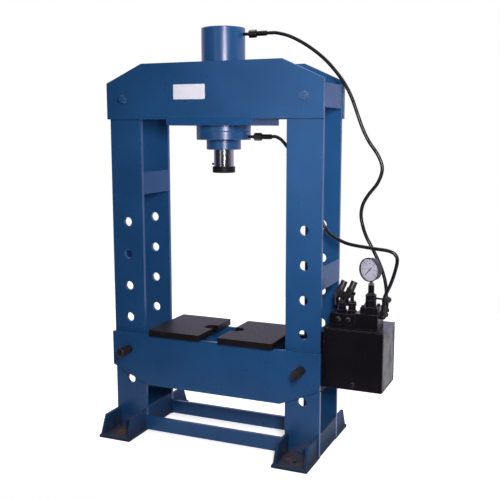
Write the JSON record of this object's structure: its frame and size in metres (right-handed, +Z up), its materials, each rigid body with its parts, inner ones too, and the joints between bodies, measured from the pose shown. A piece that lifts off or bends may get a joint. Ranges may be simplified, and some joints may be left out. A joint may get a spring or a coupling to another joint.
{
  "type": "hydraulic press",
  "caption": "Floor-standing workshop press: H-frame with crown, pinned height-adjustable bed, hydraulic cylinder, and a side tank with hand pump, valve and pressure gauge.",
  "frame": {"origin": "on the floor under the ram's axis, in the middle of the four anchor holes", "axes": "+X to the pump side, +Y to the back, +Z up along the ram"},
  "size_m": [1.3365, 0.584, 1.856],
  "materials": {
    "blue_paint": "gloss enamel paint",
    "dark_steel": "oiled, blackened steel",
    "chromed_steel": "ground and chromed",
    "bare_steel": "turned steel",
    "black_rubber": "smooth rubber",
    "black_paint": "satin black paint",
    "dark_iron": "oiled casting",
    "black_plastic": "moulded, glossy",
    "dial_face": "printed dial face",
    "clear_glass": "clear pane",
    "plated_fitting": "plated fittings"
  },
  "bodies": {
    "frame": {"front_left_upright": "blue_paint", "front_right_upright": "blue_paint", "rear_left_upright": "blue_paint", "rear_right_upright": "blue_paint", "front_left_foot": "blue_paint", "front_right_foot": "blue_paint", "rear_left_foot": "blue_paint", "rear_right_foot": "blue_paint", "column_spacers": "blue_paint", "column_side_ties": "blue_paint", "front_tie_bar": "blue_paint", "rear_tie_bar": "blue_paint", "front_crown_plate": "blue_paint", "rear_crown_plate": "blue_paint", "crown_bolts": "blue_paint", "crown_nuts": "blue_paint", "front_bed_plate": "blue_paint", "rear_bed_plate": "blue_paint", "bed_webs": "blue_paint", "cylinder_seat_plate": "blue_paint", "cylinder_barrel": "blue_paint", "cylinder_gland": "blue_paint", "left_arbor_plate": "dark_steel", "right_arbor_plate": "dark_steel", "fulcrum_pins": "bare_steel", "drain_plug": "bare_steel", "suction_pipes": "bare_steel", "rod_seals": "black_rubber", "upper_hose": "black_rubber", "lower_hose": "black_rubber", "tank_bracket": "black_paint", "tank_shell": "black_paint", "tank_lid": "black_paint", "pump_base": "black_paint", "low_pump_barrel": "black_paint", "high_pump_barrel": "black_paint", "relief_cap": "black_paint", "valve_block": "black_paint", "valve_body": "black_paint", "valve_screws": "black_paint", "gauge_adapter": "black_paint", "gauge_case": "black_paint", "gauge_dial": "dial_face", "gauge_glass": "clear_glass", "port_adapters": "plated_fitting", "valve_elbows": "plated_fitting"},
    "ram": {"ram": "chromed_steel", "piston": "bare_steel", "piston_seals": "black_rubber", "ram_nose": "dark_steel"},
    "nose_screw": {"nose_screw": "dark_steel"},
    "left_bed_pin": {"left_bed_pin": "dark_steel"},
    "right_bed_pin": {"right_bed_pin": "dark_steel"},
    "low_lever": {"low_lever": "dark_iron"},
    "low_plunger": {"low_plunger": "bare_steel"},
    "high_lever": {"high_lever": "dark_iron"},
    "high_plunger": {"high_plunger": "bare_steel"},
    "valve_lever": {"valve_lever": "black_paint", "lever_knob": "black_plastic"},
    "gauge_pointer": {"gauge_pointer": "black_plastic"}
  },
  "joints": [
    {"name": "ram_slide", "type": "slide", "parent": "frame", "child": "ram", "axis": [0, 0, -1], "range_m": [-0.055, 0.262]},
    {"name": "nose_screw_turn", "type": "hinge", "parent": "ram", "child": "nose_screw", "pos_m": [-0.05, 0, 1.263], "axis": [1, 0, 0], "continuous": true},
    {"name": "left_pin_slide", "type": "slide", "parent": "frame", "child": "left_bed_pin", "axis": [0, -1, 0], "range_m": [0, 0.3]},
    {"name": "right_pin_slide", "type": "slide", "parent": "frame", "child": "right_bed_pin", "axis": [0, -1, 0], "range_m": [0, 0.3]},
    {"name": "low_lever_swing", "type": "hinge", "parent": "frame", "child": "low_lever", "pos_m": [0.54491, -0.01909, 0.708], "axis": [-0.7071, 0.7071, 0], "range_deg": [0, 40]},
    {"name": "low_plunger_slide", "type": "slide", "parent": "frame", "child": "low_plunger", "axis": [0, 0, 1], "range_m": [-0.0202, 0.0002]},
    {"name": "high_lever_swing", "type": "hinge", "parent": "frame", "child": "high_lever", "pos_m": [0.58891, -0.01909, 0.708], "axis": [-0.7071, 0.7071, 0], "range_deg": [0, 40]},
    {"name": "high_plunger_slide", "type": "slide", "parent": "frame", "child": "high_plunger", "axis": [0, 0, 1], "range_m": [-0.0202, 0.0002]},
    {"name": "valve_lever_turn", "type": "hinge", "parent": "frame", "child": "valve_lever", "pos_m": [0.698, -0.03, 0.716], "axis": [0, 0, 1], "range_deg": [-60, 0]},
    {"name": "gauge_pointer_turn", "type": "hinge", "parent": "frame", "child": "gauge_pointer", "pos_m": [0.69257, -0.04344, 0.835], "axis": [0.3746, 0.9272, 0], "range_deg": [0, 270], "stiffness_Nm_per_rad": 0.0005}
  ],
  "couplings": [
    {"joint": "low_plunger_slide", "follows": "low_lever_swing", "m_per_rad": -0.02854},
    {"joint": "high_plunger_slide", "follows": "high_lever_swing", "m_per_rad": -0.02854}
  ]
}
